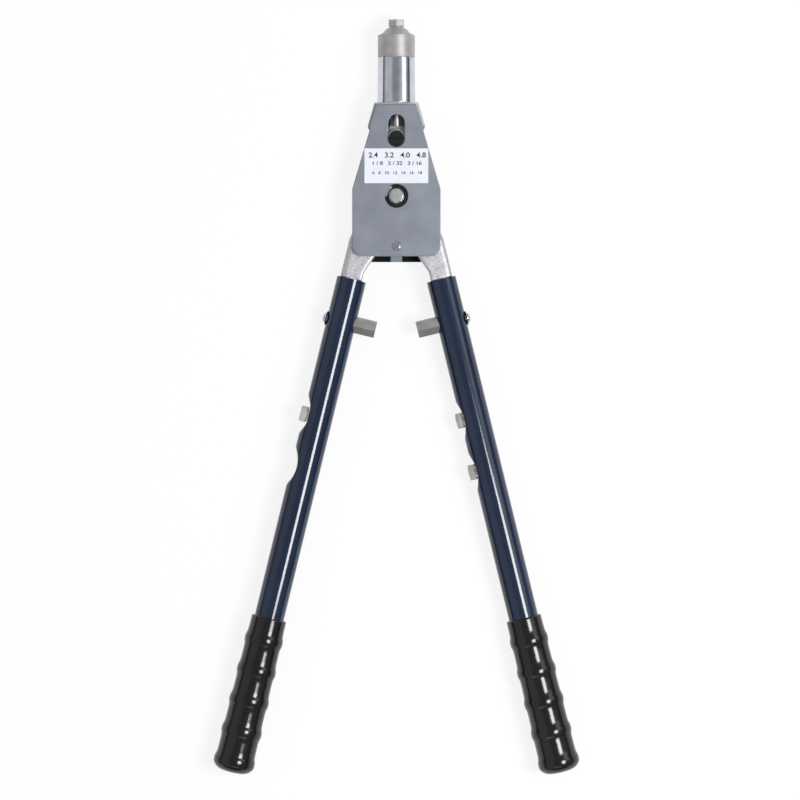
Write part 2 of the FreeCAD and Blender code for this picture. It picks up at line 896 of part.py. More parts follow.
def make_tube(side):
    name = f"{side}_tube"
    length = tube_end - s.tube_start
    skin = rod(name + "_skin", s.tube_radius, length, (0, -tube_end, 0), "Y")
    bore = rod(name + "_bore", tube_bore, length, (0, -tube_end, 0), "Y")
    outside = drilled(name + "_outside", skin, [dents(name + "_punch", as_size(0))])
    inside = drilled(name + "_inside", bore, [dents(name + "_back", s.tube_wall)])
    cuts = [inside]
    for index, level in enumerate(dent_levels()):
        cuts.append(rod(f"{name}_thread_{index}", s.nose_stub_radius + s.running_gap, s.tube_radius,
                        (-s.tube_radius * 1.2, level, 0), "X"))
        cuts.append(rod(f"{name}_seat_{index}", s.nose_collar_radius + s.running_gap * 2, s.tube_radius,
                        (-s.dent_seat - s.tube_radius, level, 0), "X"))
    tube = drilled(name + "_dented", outside, cuts)
    tube.Placement = turn(ABOUT_Y, dent_turn(side))
    bolt = rod(name + "_bolt_hole", s.stop_screw_radius + s.running_gap, s.tube_radius * 4,
               (-s.tube_radius * 2, -s.stop_level, 0), "X")
    finish(drilled(name, tube, [bolt]), tube_frame(side))


def make_spare_nosepieces():
    """Spare nosepieces screwed into the dents: one on the left tube, two on the right."""
    out = -(s.dent_seat + s.nose_collar + s.nose_hex_height).value
    first, second = [level.value for level in dent_levels()]
    facing = turn(ABOUT_Z, 90)
    for number, side, level in ((1, "left", first), (2, "right", first), (3, "right", second)):
        spot = tube_frame(side) * turn(ABOUT_Y, dent_turn(side)) * move(out, level, 0) * facing
        make_nosepiece(f"spare_nosepiece_{number}", spot)


def make_stop(side):
    """Hexagonal stop post on the inner side of the tube, with its screw and washer."""
    name = f"{side}_stop"
    reach = s.stop_reach
    start = s.tube_radius - s.stop_saddle
    post = hexagon(name + "_hexagon", s.stop_flats, reach - start, (start, -s.stop_level, 0),
                   "X", s.stop_turn.value if side == "left" else -s.stop_turn.value)
    saddle = rod(name + "_saddle", s.tube_radius + s.running_gap, s.stop_flats * 3,
                 (0, -s.stop_level - s.stop_flats * 1.5, 0), "Y")
    hole = rod(name + "_hole", s.stop_screw_radius + s.running_gap,
               s.tube_radius + s.stop_screw_depth + s.running_gap, (0, -s.stop_level, 0), "X")
    finish(drilled(f"{name}_post", post, [saddle, hole]), tube_frame(side))
    outside = tube_frame(side) * move(0, -s.stop_level.value, 0) * turn(ABOUT_Z, 90)
    washer_top = s.tube_radius + s.stop_washer_height
    finish(turned(f"{name}_washer", "XY_Plane", [
        (s.stop_screw_radius + s.running_gap, s.tube_radius),
        (s.stop_washer_radius, s.tube_radius),
        (s.stop_washer_radius, washer_top),
        (s.stop_screw_radius + s.running_gap, washer_top),
    ]), outside)
    finish(turned(f"{name}_screw", "XY_Plane", [
        (0, -(s.tube_radius + s.stop_screw_depth)),
        (s.stop_screw_radius, -(s.tube_radius + s.stop_screw_depth)),
        (s.stop_screw_radius, washer_top),
        (s.stop_head_radius, washer_top),
        (s.stop_head_radius * 0.8, washer_top + s.stop_head_height * 0.7),
        (s.stop_head_radius * 0.3, washer_top + s.stop_head_height),
        (0, washer_top + s.stop_head_height),
    ]), outside)


def make_grip(side):
    """A soft sleeve with raised rings, which widens towards its closed, rounded end."""
    waves = int(s.grip_waves.value)
    pitch = (s.grip_length - s.ring_first - s.ring_last) / (waves - 1)
    growth = (s.grip_end_radius - s.grip_top_radius) / (waves - 1)
    bore = s.tube_radius + s.running_gap
    points = [(bore, -s.grip_start), (s.grip_top_radius, -s.grip_start)]
    for index in range(waves):
        level = s.grip_start + s.ring_first + pitch * index
        base = s.grip_top_radius + growth * index
        points.append((base, -(level - s.ring_half)))
        points.append((base + s.ring_height, -(level - s.ring_half / 4)))
        points.append((base + s.ring_height, -(level + s.ring_half / 4)))
        if index < waves - 1:
            points.append((base + growth / 2, -(level + s.ring_half)))
    end = s.grip_start + s.grip_length
    for angle in (0, 30, 60, 90):
        inwards = s.grip_cap_reach * (1 - math.cos(math.radians(angle)))
        onwards = s.grip_cap * math.sin(math.radians(angle))
        points.append((s.grip_end_radius - inwards, -(end - s.grip_cap + onwards)))
    points.append((0, -end))
    points.append((0, -tube_end - s.running_gap))
    points.append((bore, -tube_end - s.running_gap))
    finish(turned(f"{side}_grip", "XY_Plane", points[::-1]), tube_frame(side))


def check(items):
    """Stops on any object that failed to build, and on any sub-part that isn't one sound shape."""
    for item in items:
        if {"Invalid", "Error"} & set(item.State):
            raise RuntimeError(f"{item.Label} did not build: {item.State}")
    for node in nodes:
        if node.Shape.isNull() or not node.Shape.isValid() or node.Shape.Volume <= 0:
            raise RuntimeError(f"{node.Label} has no sound shape")


make_plate("front_plate", False, inner_face, s.plate_rim, s.slot_half)
make_plate("rear_plate", True, -outer_face, as_size(0), s.slide_shank + s.slot_play)
make_head_block()
make_barrel()
make_nose_cap()
make_nosepiece("nosepiece", Placement())
make_pull_rod()
make_clevis()
make_jaw_case()
make_jaws()
make_pusher()
make_spring()
make_slide_screw()
make_nut("slide_nut", s.slide_shank, -outer_face - s.lap_gap, HEAD * move(0, s.slide_level.value, 0))
make_pivot_bolt()
make_pivot_stack()
make_nut("pivot_nut", s.bolt_radius, -outer_face, HEAD)
make_bottom_rivet()
make_label()
for arm in ("left", "right"):
    make_arm_head(arm)
    make_link(arm)
    make_link_pin(arm)
    make_tube(arm)
    make_stop(arm)
    make_grip(arm)
make_spare_nosepieces()

doc.recompute()
check(doc.Objects)
os.makedirs("parts", exist_ok=True)
for node in nodes:
    node.Label = node.Name
    node.Shape.exportStep(f"parts/{node.Name}.step")
    print(node.Name, len(node.Shape.Solids), round(node.Shape.Volume, 1))
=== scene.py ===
# %% [markdown]
# # Long arm riveter
# The tool lies flat on a pale table with its nose away from us. This lesson dresses the packed
# metal frame: it eases the sharp edges of each plate and fitting, forms the pressed tubes and the
# ringed grips as smooth meshes, and gives every surface the finish that the real tool has.

# %% Load the frame
import json
import math

import bmesh
import bpy
from mathutils import Matrix, Vector


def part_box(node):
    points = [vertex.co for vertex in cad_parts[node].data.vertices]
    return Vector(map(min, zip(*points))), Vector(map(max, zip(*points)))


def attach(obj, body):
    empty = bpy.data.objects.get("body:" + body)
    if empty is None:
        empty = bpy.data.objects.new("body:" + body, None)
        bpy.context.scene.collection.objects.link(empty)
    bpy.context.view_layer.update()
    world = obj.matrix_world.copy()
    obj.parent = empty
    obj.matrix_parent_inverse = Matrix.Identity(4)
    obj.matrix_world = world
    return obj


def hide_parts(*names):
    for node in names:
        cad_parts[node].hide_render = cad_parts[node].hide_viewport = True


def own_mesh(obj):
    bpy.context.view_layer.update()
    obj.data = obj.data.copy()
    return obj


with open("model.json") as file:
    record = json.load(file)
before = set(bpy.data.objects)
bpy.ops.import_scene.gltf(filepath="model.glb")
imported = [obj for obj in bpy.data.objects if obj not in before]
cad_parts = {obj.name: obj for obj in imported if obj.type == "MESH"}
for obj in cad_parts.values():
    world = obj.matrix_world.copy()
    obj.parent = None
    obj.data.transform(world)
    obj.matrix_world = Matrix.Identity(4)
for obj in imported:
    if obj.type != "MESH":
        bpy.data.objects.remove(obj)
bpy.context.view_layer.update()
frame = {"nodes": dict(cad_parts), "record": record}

nodes = frame["nodes"]
scene = bpy.context.scene

# %% [markdown]
# ## Sizes that the finish needs
# Lengths are written in millimetres, as they would be on a drawing, and turned to metres once.
# The two arms share one drawing: the right arm is the left one turned over, so one matrix for each
# arm places everything that belongs to it.

# %% Arm frames
MM = 0.001
PIVOT = Vector((0.0, -126.8 * MM, 0.0))
ARM_HALF_ANGLE = math.radians(13.68)
TUBE_OFFSET = 17.2 * MM


def arm_frame(side):
    """The matrix from the drawing of one arm, about the pivot, to the tool."""
    angle = ARM_HALF_ANGLE if side == "right" else -ARM_HALF_ANGLE
    matrix = Matrix.Translation(PIVOT) @ Matrix.Rotation(angle, 4, "Z")
    if side == "right":
        matrix = matrix @ Matrix.Rotation(math.pi, 4, "Y")
    return matrix


def tube_frame(side):
    """The matrix of a tube, whose own axis is Y and whose dents face -X."""
    return arm_frame(side) @ Matrix.Translation((-TUBE_OFFSET, 0.0, 0.0))


print("the arms stand open by", round(2 * math.degrees(ARM_HALF_ANGLE), 2), "degrees")

# %% [markdown]
# ## Colours and nodes
# Colours are written as the screen values that a painter would name, and the renderer works in
# linear light, so one function turns one into the other. One more function adds a shader node, with
# its settings and links, to keep each material short enough to read. The sums that nodes can do are
# named here once.

# %% Colour and node helpers
MATH = "ShaderNodeMath"
ADD = {"operation": "ADD"}
SUBTRACT = {"operation": "SUBTRACT"}
MULTIPLY = {"operation": "MULTIPLY"}
DIVIDE = {"operation": "DIVIDE"}
MINIMUM = {"operation": "MINIMUM"}
MAXIMUM = {"operation": "MAXIMUM"}
FRACTION = {"operation": "FRACT"}
ROOT = {"operation": "SQRT"}
SIZE_ALONE = {"operation": "ABSOLUTE"}
IS_BELOW = {"operation": "LESS_THAN"}
IS_ABOVE = {"operation": "GREATER_THAN"}
COLOUR_MIX = {"data_type": "RGBA"}
COLOUR_SUM = {"data_type": "RGBA", "blend_type": "ADD"}


def linear(hex_colour):
    """An sRGB hex value as linear red, green, blue and alpha."""
    channels = [int(hex_colour[i:i + 2], 16) / 255 for i in (0, 2, 4)]
    lit = [c / 12.92 if c <= 0.04045 else ((c + 0.055) / 1.055) ** 2.4 for c in channels]
    return (*lit, 1.0)


def set_sockets(tree, node, **sockets):
    """Fills sockets. Each takes a plain value, an output to link, or a node for its first output."""
    for name, value in sockets.items():
        place = int(name[1:]) if name[1:].isdigit() else name.replace("_", " ")
        socket = node.inputs[place]
        if isinstance(value, bpy.types.Node):
            tree.links.new(value.outputs[0], socket)
        elif isinstance(value, bpy.types.NodeSocket):
            tree.links.new(value, socket)
        else:
            socket.default_value = value


def add_node(tree, kind, settings=None, **sockets):
    """Adds a node with its settings. Its sockets are named, or numbered as i0, i1 and so on."""
    node = tree.nodes.new(kind)
    for name, value in (settings or {}).items():
        setattr(node, name, value)
    set_sockets(tree, node, **sockets)
    return node


def new_material(name):
    """A material with its surface shader and the coordinates of the object it is on."""
    material = bpy.data.materials.new(name)
    material.use_nodes = True
    tree = material.node_tree
    shader = tree.nodes["Principled BSDF"]
    place = add_node(tree, "ShaderNodeTexCoord").outputs["Object"]
    return material, tree, shader, place


PATCH_EDGES = (0.35, 0.65)


def mottled(tree, place, scale, first, second, detail=3.0):
    """Two colours mixed by soft noise, and the noise itself."""
    noise = add_node(tree, "ShaderNodeTexNoise", Vector=place, Scale=scale, Detail=detail)
    ramp = add_node(tree, "ShaderNodeValToRGB", Fac=noise.outputs["Fac"])
    for stop, edge, colour in zip(ramp.color_ramp.elements, PATCH_EDGES, (first, second)):
        stop.position = edge
        stop.color = linear(colour)
    return ramp.outputs["Color"], noise.outputs["Fac"]


# %% [markdown]
# ## Zinc plated sheet
# The head plates are rolled steel, zinc plated to a satin grey. Rolling leaves fine straight lines
# along the sheet, and the plating settles in soft cloudy patches a centimetre or two wide, so the
# grain is noise that is stretched along the tool and the clouds are plain noise. The real lines are
# too fine to show, so they are drawn half a millimetre wide. The lower tab of the rear plate has
# painted shade, a dark colour where it lies in shadow, but for a middle stretch in the plain zinc
# colour.

# %% Satin zinc sheet
GRAIN_WIDTH = 0.5 * MM
GRAIN_STRETCH = 20
GRAIN_DEPTH = 0.04 * MM
CLOUD_WIDTH = 18 * MM
SHEET_ROUGHNESS = (0.4, 0.52)
# half the width of the middle stretch that the painted shade leaves out
UNSHADED_HALF_WIDTH = 4.1 * MM
# the colour of the painted shade on the rear plate's tab
TAB_PAINTED_SHADE = "18211f"


def painted_shade_tab(tree, place, cloud, level):
    """Painted shade in a dark steel colour below a level, but for a middle stretch in its own
    colour.
    """
    axes = add_node(tree, "ShaderNodeSeparateXYZ", Vector=place).outputs
    below = add_node(tree, MATH, IS_BELOW, i0=axes["Y"], i1=level)
    from_middle = add_node(tree, MATH, SIZE_ALONE, i0=axes["X"])
    aside = add_node(tree, MATH, IS_ABOVE, i0=from_middle, i1=UNSHADED_HALF_WIDTH)
    both = add_node(tree, MATH, MULTIPLY, i0=below, i1=aside)
    mix = add_node(tree, "ShaderNodeMix", COLOUR_MIX, i0=both, i6=cloud, i7=linear(TAB_PAINTED_SHADE))
    return mix.outputs[2]


def satin_zinc_sheet(name, dark, light, tab_level=None):
    """Rolled sheet: cloudy plating over fine straight grain, with painted shade on the tab below a
    level, if one is given.
    """
    material, tree, shader, place = new_material(name)
    colour, _ = mottled(tree, place, 1 / CLOUD_WIDTH, dark, light)
    rolled = add_node(tree, "ShaderNodeMapping", Vector=place, Scale=(1.0, 1 / GRAIN_STRETCH, 1.0))
    grain = add_node(tree, "ShaderNodeTexNoise", Vector=rolled, Scale=1 / GRAIN_WIDTH, Detail=4.0)
    low, high = SHEET_ROUGHNESS
    rough = add_node(tree, "ShaderNodeMapRange", Value=grain, To_Min=low, To_Max=high)
    bump = add_node(tree, "ShaderNodeBump", Height=grain, Strength=0.1, Distance=GRAIN_DEPTH)
    if tab_level is not None:
        colour = painted_shade_tab(tree, place, colour, tab_level)
    set_sockets(tree, shader, Base_Color=colour, Roughness=rough, Normal=bump, Metallic=1.0)
    return material


# %% [markdown]
# ## Bright plating, castings and turned steel
# The barrel is turned bar with bright zinc, so it carries hairline turning marks round its axis
# and sharp reflections. The cap is turned too, but its zinc has gone dull and hardly mirrors. The
# real marks are too fine to show, so they are drawn a third of a millimetre apart. The arm heads
# are sand castings under thin plating: grains about a millimetre across, with a painted highlight
# on the raised grains and painted shade in the hollows. Nosepieces and bolts are bare turned steel,
# and the stop posts are that steel gone dull.

# %% Bright zinc, rough casting, turned steel
TURNING_PITCH = 0.35 * MM
TURNING_STRETCH = 0.06
TURNING_DEPTH = 0.02 * MM
STAIN_WIDTH = 9 * MM
CAST_GRAIN = 0.8 * MM
CAST_DEPTH = 0.2 * MM
CAST_ROUGHNESS = (0.6, 0.38)


def turned_metal(name, dark, light, rough_low, rough_high, metallic=1.0):
    """Turned bar: fine marks round its axis, smoother and rougher by turns."""
    material, tree, shader, place = new_material(name)
    colour, _ = mottled(tree, place, 1 / STAIN_WIDTH, dark, light)
    round_axis = (TURNING_STRETCH, 1.0, TURNING_STRETCH)
    across = add_node(tree, "ShaderNodeMapping", Vector=place, Scale=round_axis)
    marks = add_node(tree, "ShaderNodeTexNoise", Vector=across, Scale=1 / TURNING_PITCH, Detail=2.0)
    height = marks.outputs["Fac"]
    rough = add_node(tree, "ShaderNodeMapRange", Value=height, To_Min=rough_low, To_Max=rough_high)
    bump = add_node(tree, "ShaderNodeBump", Height=height, Strength=0.05, Distance=TURNING_DEPTH)
    set_sockets(tree, shader, Base_Color=colour, Roughness=rough, Normal=bump, Metallic=metallic)
    return material


def rough_casting(name, hollows, grains):
    """A casting's skin: raised grains, smoother than the hollows, with a painted highlight on them
    and painted shade in the hollows.
    """
    material, tree, shader, place = new_material(name)
    colour, grain = mottled(tree, place, 1 / CAST_GRAIN, hollows, grains, 6.0)
    dull, bright = CAST_ROUGHNESS
    rough = add_node(tree, "ShaderNodeMapRange", Value=grain, To_Min=dull, To_Max=bright)
    bump = add_node(tree, "ShaderNodeBump", Height=grain, Strength=0.35, Distance=CAST_DEPTH)
    set_sockets(tree, shader, Base_Color=colour, Roughness=rough, Normal=bump, Metallic=0.75)
    return material


# %% [markdown]
# ## Enamel, vinyl, black oxide and print
# The tubes are stoved with navy enamel: a coloured coat under clear gloss, with a faint orange
# peel. The grips are dipped vinyl, thick, black and shiny, a little uneven from the dip. The slide
# screw and bushes are black oxide on steel. The label is white film with dark ink. Each of them is
# a smooth coat with soft waves in it, so one function makes them all. The table below it lists what
# differs: for turned metal the lowest and highest roughness, and for a coat the width of its
# patches, its roughness and gloss, and the width and depth of its waves.

# %% Coated finishes


def coated(name, dark, light, patch, roughness, gloss, wave, wave_height):
    """A smooth coat. Its patches and waves are given in millimetres."""
    material, tree, shader, place = new_material(name)
    colour, _ = mottled(tree, place, 1 / (patch * MM), dark, light)
    waves = add_node(tree, "ShaderNodeTexNoise", Vector=place, Scale=1 / (wave * MM), Detail=2.0)
    bump = add_node(tree, "ShaderNodeBump", Height=waves, Strength=0.2, Distance=wave_height * MM)
    set_sockets(tree, shader, Base_Color=colour, Normal=bump, Roughness=roughness,
                Specular_IOR_Level=gloss)
    return material


TAB_LEVEL = PIVOT.y - 42.6 * MM
finishes = {
    "plate_zinc": satin_zinc_sheet("satin_zinc_sheet", "868b95", "9297a0"),
    # the rear plate's tab carries painted shade below TAB_LEVEL
    "rear_zinc": satin_zinc_sheet("satin_zinc_rear", "868b95", "9297a0", TAB_LEVEL),
    # the head block is the same zinc painted lighter: a painted highlight for the light on its
    # rounded rim, which otherwise lies in shade
    "painted_light_block_zinc": satin_zinc_sheet("satin_zinc_block_painted_light", "b4b8c0", "c8ccd3"),
    "bright_zinc": turned_metal("bright_zinc_turned", "c3c7ce", "cfd4db", 0.12, 0.18),
    "cap_zinc": turned_metal("dull_zinc_turned", "9c9a9a", "b0aeae", 0.36, 0.46, 0.45),
    "hard_steel": turned_metal("bare_turned_steel", "b4b3af", "d2d1cd", 0.24, 0.38),
    "post_steel": turned_metal("dull_post_steel", "929290", "a5a5a3", 0.42, 0.52),
    # the castings' grains carry a painted highlight and their hollows painted shade
    "cast_plated": rough_casting("plated_sand_casting", "a2a2a6", "d2d2d5"),
    "navy_paint": coated("navy_stove_enamel", "122036", "182740", 40, 0.11, 0.5, 4, 0.006),
    "black_vinyl": coated("dipped_black_vinyl", "0d0a0a", "151111", 25, 0.16, 0.5, 7, 0.1),
    "black_oxide": coated("black_oxide_steel", "101211", "1c1f1e", 3, 0.35, 0.25, 1.2, 0.05),
    "label_film": coated("white_label_film", "dde1ea", "e3e7ef", 14, 0.5, 0.3, 6, 0.04),
    "label_ink": coated("dark_label_ink", "1d1f24", "2c2f35", 2, 0.5, 0.3, 1, 0.02),
}
print("finishes:", len(finishes))

# %% [markdown]
# ## Easing the edges of sheet and bar
# No real edge is razor sharp: it catches a thin line of light, and that line is what the eye reads
# as metal. Each fitting starts from its own solid. Its flat triangles are joined to whole faces,
# and a Bevel modifier rolls every edge: by about a millimetre on the plates and the block between
# them, and by a few tenths on a bolt or post. The label's film is thin, so its edge hardly turns.

# %% Ease the edges
record = frame["record"]
slot_of = {part["node"]: part["material_slot"] for part in record["subparts"]}
body_of = {node: body for body, members in record["behaviour"]["bodies"].items() for node in members}
made = []


def dress(piece, node, finish=None):
    """Puts a finished piece in place of its CAD node."""
    piece.data.materials.clear()
    piece.data.materials.append(finishes[finish or slot_of[node]])
    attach(piece, body_of[node])
    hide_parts(node)
    made.append(piece.name)


def mesh_from(work, name):
    """The mesh that a bmesh holds. The bmesh is freed."""
    mesh = bpy.data.meshes.new(name)
    work.to_mesh(mesh)
    work.free()
    return mesh


def shade_smooth(mesh):
    """Shades all faces of a mesh as one round skin."""
    for face in mesh.polygons:
        face.use_smooth = True
    return mesh


SAME_POINT = 0.001 * MM
SAME_PLANE = math.radians(0.5)


def merged_mesh(node):
    """A copy of a node's mesh with its corners joined and its flat faces whole."""
    work = bmesh.new()
    work.from_mesh(nodes[node].data)
    bmesh.ops.remove_doubles(work, verts=work.verts, dist=SAME_POINT)
    bmesh.ops.dissolve_limit(work, angle_limit=SAME_PLANE, verts=work.verts, edges=work.edges)
    return shade_smooth(mesh_from(work, node + "_finished"))


def new_piece(name, data):
    piece = bpy.data.objects.new(name, data)
    scene.collection.objects.link(piece)
    return piece


def finished_mesh(piece):
    """The mesh of a piece as its modifiers, or its text, make it."""
    bpy.context.view_layer.update()
    graph = bpy.context.evaluated_depsgraph_get()
    return bpy.data.meshes.new_from_object(piece.evaluated_get(graph))


def applied(piece):
    """The piece with its modifiers made part of its mesh."""
    mesh = finished_mesh(piece)
    piece.modifiers.clear()
    piece.data = mesh
    return piece


def eased(piece, width, angle):
    """Rolls each edge that turns by more than an angle, in degrees. The large faces then set the
    shading, so that they stay flat right up to their eased edges."""
    bevel = piece.modifiers.new("eased_edges", "BEVEL")
    bevel.width = width
    bevel.segments = 3
    bevel.limit_method = "ANGLE"
    bevel.angle_limit = math.radians(angle)
    weighted = piece.modifiers.new("even_normals", "WEIGHTED_NORMAL")
    weighted.mode = "FACE_AREA"
    weighted.weight = 90
    weighted.keep_sharp = False
    return applied(piece)


SHEET_EDGE_ANGLE = 35
EDGES = {
    "front_plate": 1.2, "rear_plate": 0.9, "head_block": 1.2,
    "pivot_bolt": 0.5, "pivot_nut": 0.3, "slide_nut": 0.3,
    "front_washer": 0.15, "rear_washer": 0.15, "front_bush": 0.15, "rear_bush": 0.15,
    "bottom_rivet": 0.3, "slide_screw": 0.3, "puller_clevis": 0.5,
    "left_link": 0.4, "right_link": 0.4, "label": 0.04,
    "left_stop_post": 0.35, "right_stop_post": 0.35,
    "left_stop_washer": 0.12, "right_stop_washer": 0.12,
}
# the head block takes the lighter zinc with the painted highlight
OWN_FINISH = {
    "rear_plate": "rear_zinc", "head_block": "painted_light_block_zinc", "puller_clevis": "cap_zinc",
    "pull_rod": "hard_steel", "pivot_bolt": "hard_steel",
    "left_stop_post": "post_steel", "right_stop_post": "post_steel",
}


def ease(node, width):
    piece = new_piece(node + "_finished", merged_mesh(node))
    dress(eased(piece, width, SHEET_EDGE_ANGLE), node, OWN_FINISH.get(node))


for node, width in EDGES.items():
    ease(node, width * MM)
print("eased pieces:", len(EDGES))

# %% [markdown]
# ## Turned pieces
# A lathe gives the barrel, the cap and the domed screws a perfectly round skin. The same outline as
# on the drawing is spun here with many more steps than the solid has, so that long reflections run
# straight, and its edges are eased like the others. Each point of an outline is a radius and a
# level in millimetres. The levels of the barrel and the cap count from the pivot to the nose.

# %% Spin an outline on the lathe
ROUND_STEPS = 128
TURNED_EDGE_ANGLE = 25


def bridge(work, first, second):
    """A closed band of faces between two rings of points."""
    count = len(first)
    for index in range(count):
        after = (index + 1) % count
        work.faces.new((first[index], first[after], second[after], second[index]))


def lathe(name, outline, matrix, width, steps=ROUND_STEPS):
    """Spins a closed outline of (radius, level) points about Y and eases its edges."""
    work = bmesh.new()
    rings = []
    for step in range(steps):
        angle = 2 * math.pi * step / steps
        places = [(r * MM * math.cos(angle), y * MM, r * MM * math.sin(angle)) for r, y in outline]
        rings.append([work.verts.new(place) for place in places])
    for step, ring in enumerate(rings):
        bridge(work, ring, rings[(step + 1) % steps])
    bmesh.ops.remove_doubles(work, verts=work.verts, dist=SAME_POINT)
    bmesh.ops.recalc_face_normals(work, faces=work.faces)
    mesh = shade_smooth(mesh_from(work, name))
    mesh.transform(matrix)
    return eased(new_piece(name, mesh), width, TURNED_EDGE_ANGLE)


HEAD = Matrix.Translation(PIVOT)
barrel_outline = [
    (4.05, 60.5), (6.5, 60.5), (6.5, 67.1), (13.7, 67.1), (13.3, 99.6), (12.9, 99.8),
    (11.5, 99.8), (11.5, 106.8), (9.5, 106.8), (9.5, 70.5), (4.05, 70.5),
]
cap_outline = [
    (11.55, 99.8), (13.3, 99.8), (13.3, 115.7), (9.8, 117.3), (7.0, 120.5), (4.05, 120.5),
    (4.05, 112.5), (9.5, 112.5), (9.5, 106.85), (11.55, 106.85),
]
barrel = lathe("barrel_turned", barrel_outline, HEAD, width=0.25 * MM)
cap = lathe("nose_cap_turned", cap_outline, HEAD, width=0.35 * MM)
dress(barrel, "barrel")
dress(cap, "nose_cap", "cap_zinc")
print("turned pieces:", made[-2:])

# %% [markdown]
# The screws that hold the stop posts have domed heads. A quarter circle of a few points makes the
# dome, and the rest of the outline is the shank that runs through the tube. Each screw lies across
# its tube, so its outline is spun about an axis that is turned by a right angle.

# %% Domed stop screws
DOME_RADIUS = 4.0
DOME_HEIGHT = 2.6
DOME_FOOT = 11.45
DOME_STEPS = 8
SHANK_RADIUS = 2.5
SHANK_TIP = -19.65
STOP_LEVEL = 96.5 * MM


def dome_outline():
    points = [(0.0, SHANK_TIP), (SHANK_RADIUS, SHANK_TIP), (SHANK_RADIUS, DOME_FOOT)]
    for step in range(DOME_STEPS + 1):
        angle = math.radians(90 * step / DOME_STEPS)
        level = DOME_FOOT + DOME_HEIGHT * math.sin(angle)
        points.append((DOME_RADIUS * math.cos(angle), level))
    return points


ACROSS = Matrix.Rotation(math.pi / 2, 4, "Z")
for side in ("left", "right"):
    spot = tube_frame(side) @ Matrix.Translation((0, -STOP_LEVEL, 0)) @ ACROSS
    screw = lathe(f"{side}_stop_screw_turned", dome_outline(), spot, width=0.1 * MM, steps=48)
    dress(screw, f"{side}_stop_screw")
print("points in a screw's outline:", len(dome_outline()))

# %% [markdown]
# ## Nosepieces
# Each nosepiece is a short hexagon on a round stub, drilled right through for the rivet's mandrel.
# The corners of a real hexagon are cut back where it was turned, so the solid's own mesh gets a
# wide bevel for its size, close to half a millimetre.

# %% Ease the nosepieces
NOSEPIECES = ("nosepiece", "spare_nosepiece_1", "spare_nosepiece_2", "spare_nosepiece_3")
NOSEPIECE_EDGE = 0.45 * MM
for node in NOSEPIECES:
    ease(node, NOSEPIECE_EDGE)
print("nosepieces:", len(NOSEPIECES))

# %% [markdown]
# ## Pressed tubes
# The arms are steel tube with two dents pressed in where the spare nosepieces screw on. A punch
# with a round nose moves the wall straight inwards: every point of the wall above the punch's face
# moves down to it. A soft minimum of the two heights leaves the rolled rim that pressing makes.
# On both arms the dents face left, and the right arm's also face a little down to the table, so
# its tube is turned by a little less than half a turn.

# %% Press the tubes
TUBE_RADIUS = 10.65 * MM
TUBE_WALL = 2.3 * MM
TUBE_START = 65.3 * MM
TUBE_END = 425.3 * MM
DENT_LEVELS = (167.2 * MM, 205.3 * MM)
DENT_DEPTH = 4.3 * MM
DENT_PUNCH = 23.0 * MM
DENT_TURN = {"left": 0.0, "right": math.radians(168.0)}
DENT_REACH = 17 * MM
RIM_SOFTNESS = 1.2 * MM
TUBE_STEPS = 96
DENT_SPACING = 0.9 * MM
PLAIN_SPACING = 12 * MM


def ring_levels():
    """Levels down the tube, close together over the dents and far apart elsewhere."""
    levels = [TUBE_START]
    while levels[-1] < TUBE_END:
        level = levels[-1]
        step = DENT_SPACING
        if not any(abs(level + step - dent) < DENT_REACH for dent in DENT_LEVELS):
            to_dents = [dent - DENT_REACH - level for dent in DENT_LEVELS]
            step = min([PLAIN_SPACING] + [way for way in to_dents if way > DENT_SPACING / 2])
        levels.append(min(level + step, TUBE_END))
    return levels


def soft_minimum(first, second, softness):
    blend = max(softness - abs(first - second), 0.0) / softness
    return min(first, second) - blend * blend * softness / 4


def pressed_height(height, level, radius, punch):
    """How high a point of the wall stands, towards the dents, once they are pressed."""
    for dent in DENT_LEVELS:
        along = level - dent
        if abs(along) < punch:
            floor = radius - DENT_DEPTH + punch - math.sqrt(punch * punch - along * along)
            height = soft_minimum(height, floor, RIM_SOFTNESS)
    return height


def tube_rings(work, radius, punch, levels):
    rings = []
    for level in levels:
        ring = []
        for step in range(TUBE_STEPS):
            angle = 2 * math.pi * step / TUBE_STEPS
            height = pressed_height(radius * math.cos(angle), level, radius, punch)
            ring.append(work.verts.new((-height, -level, radius * math.sin(angle))))
        rings.append(ring)
    return rings


def tube_mesh(name):
    work = bmesh.new()
    levels = ring_levels()
    outer = tube_rings(work, TUBE_RADIUS, DENT_PUNCH, levels)
    inner = tube_rings(work, TUBE_RADIUS - TUBE_WALL, DENT_PUNCH + TUBE_WALL, levels)
    for rings in (outer, inner):
        for first, second in zip(rings, rings[1:]):
            bridge(work, first, second)
    bridge(work, outer[0], inner[0])
    bridge(work, outer[-1], inner[-1])
    bmesh.ops.recalc_face_normals(work, faces=work.faces)
    return mesh_from(work, name)


print("rings along a tube:", len(ring_levels()))

# %% [markdown]
# Each dent has a flat seat milled round its threaded hole, so two round cutters go in for each: one
# takes the thread's hole and a wider one stops at the height of the seat. The rims of those cuts
# stay sharp, and the pressed wall round them is shaded smooth.

# %% Drill and place the tubes
HOLE_RADIUS = 4.05 * MM
HOLE_CENTRE = 5 * MM
HOLE_LENGTH = 7 * MM
SEAT_RADIUS = 6.3 * MM
SEAT_HEIGHT = 6.7 * MM
SEAT_LENGTH = 10 * MM
CUTTER_STEPS = 48
CUT_RIM_ANGLE = math.radians(38)
TOWARDS_DENTS = Matrix.Rotation(math.pi / 2, 4, "Y")


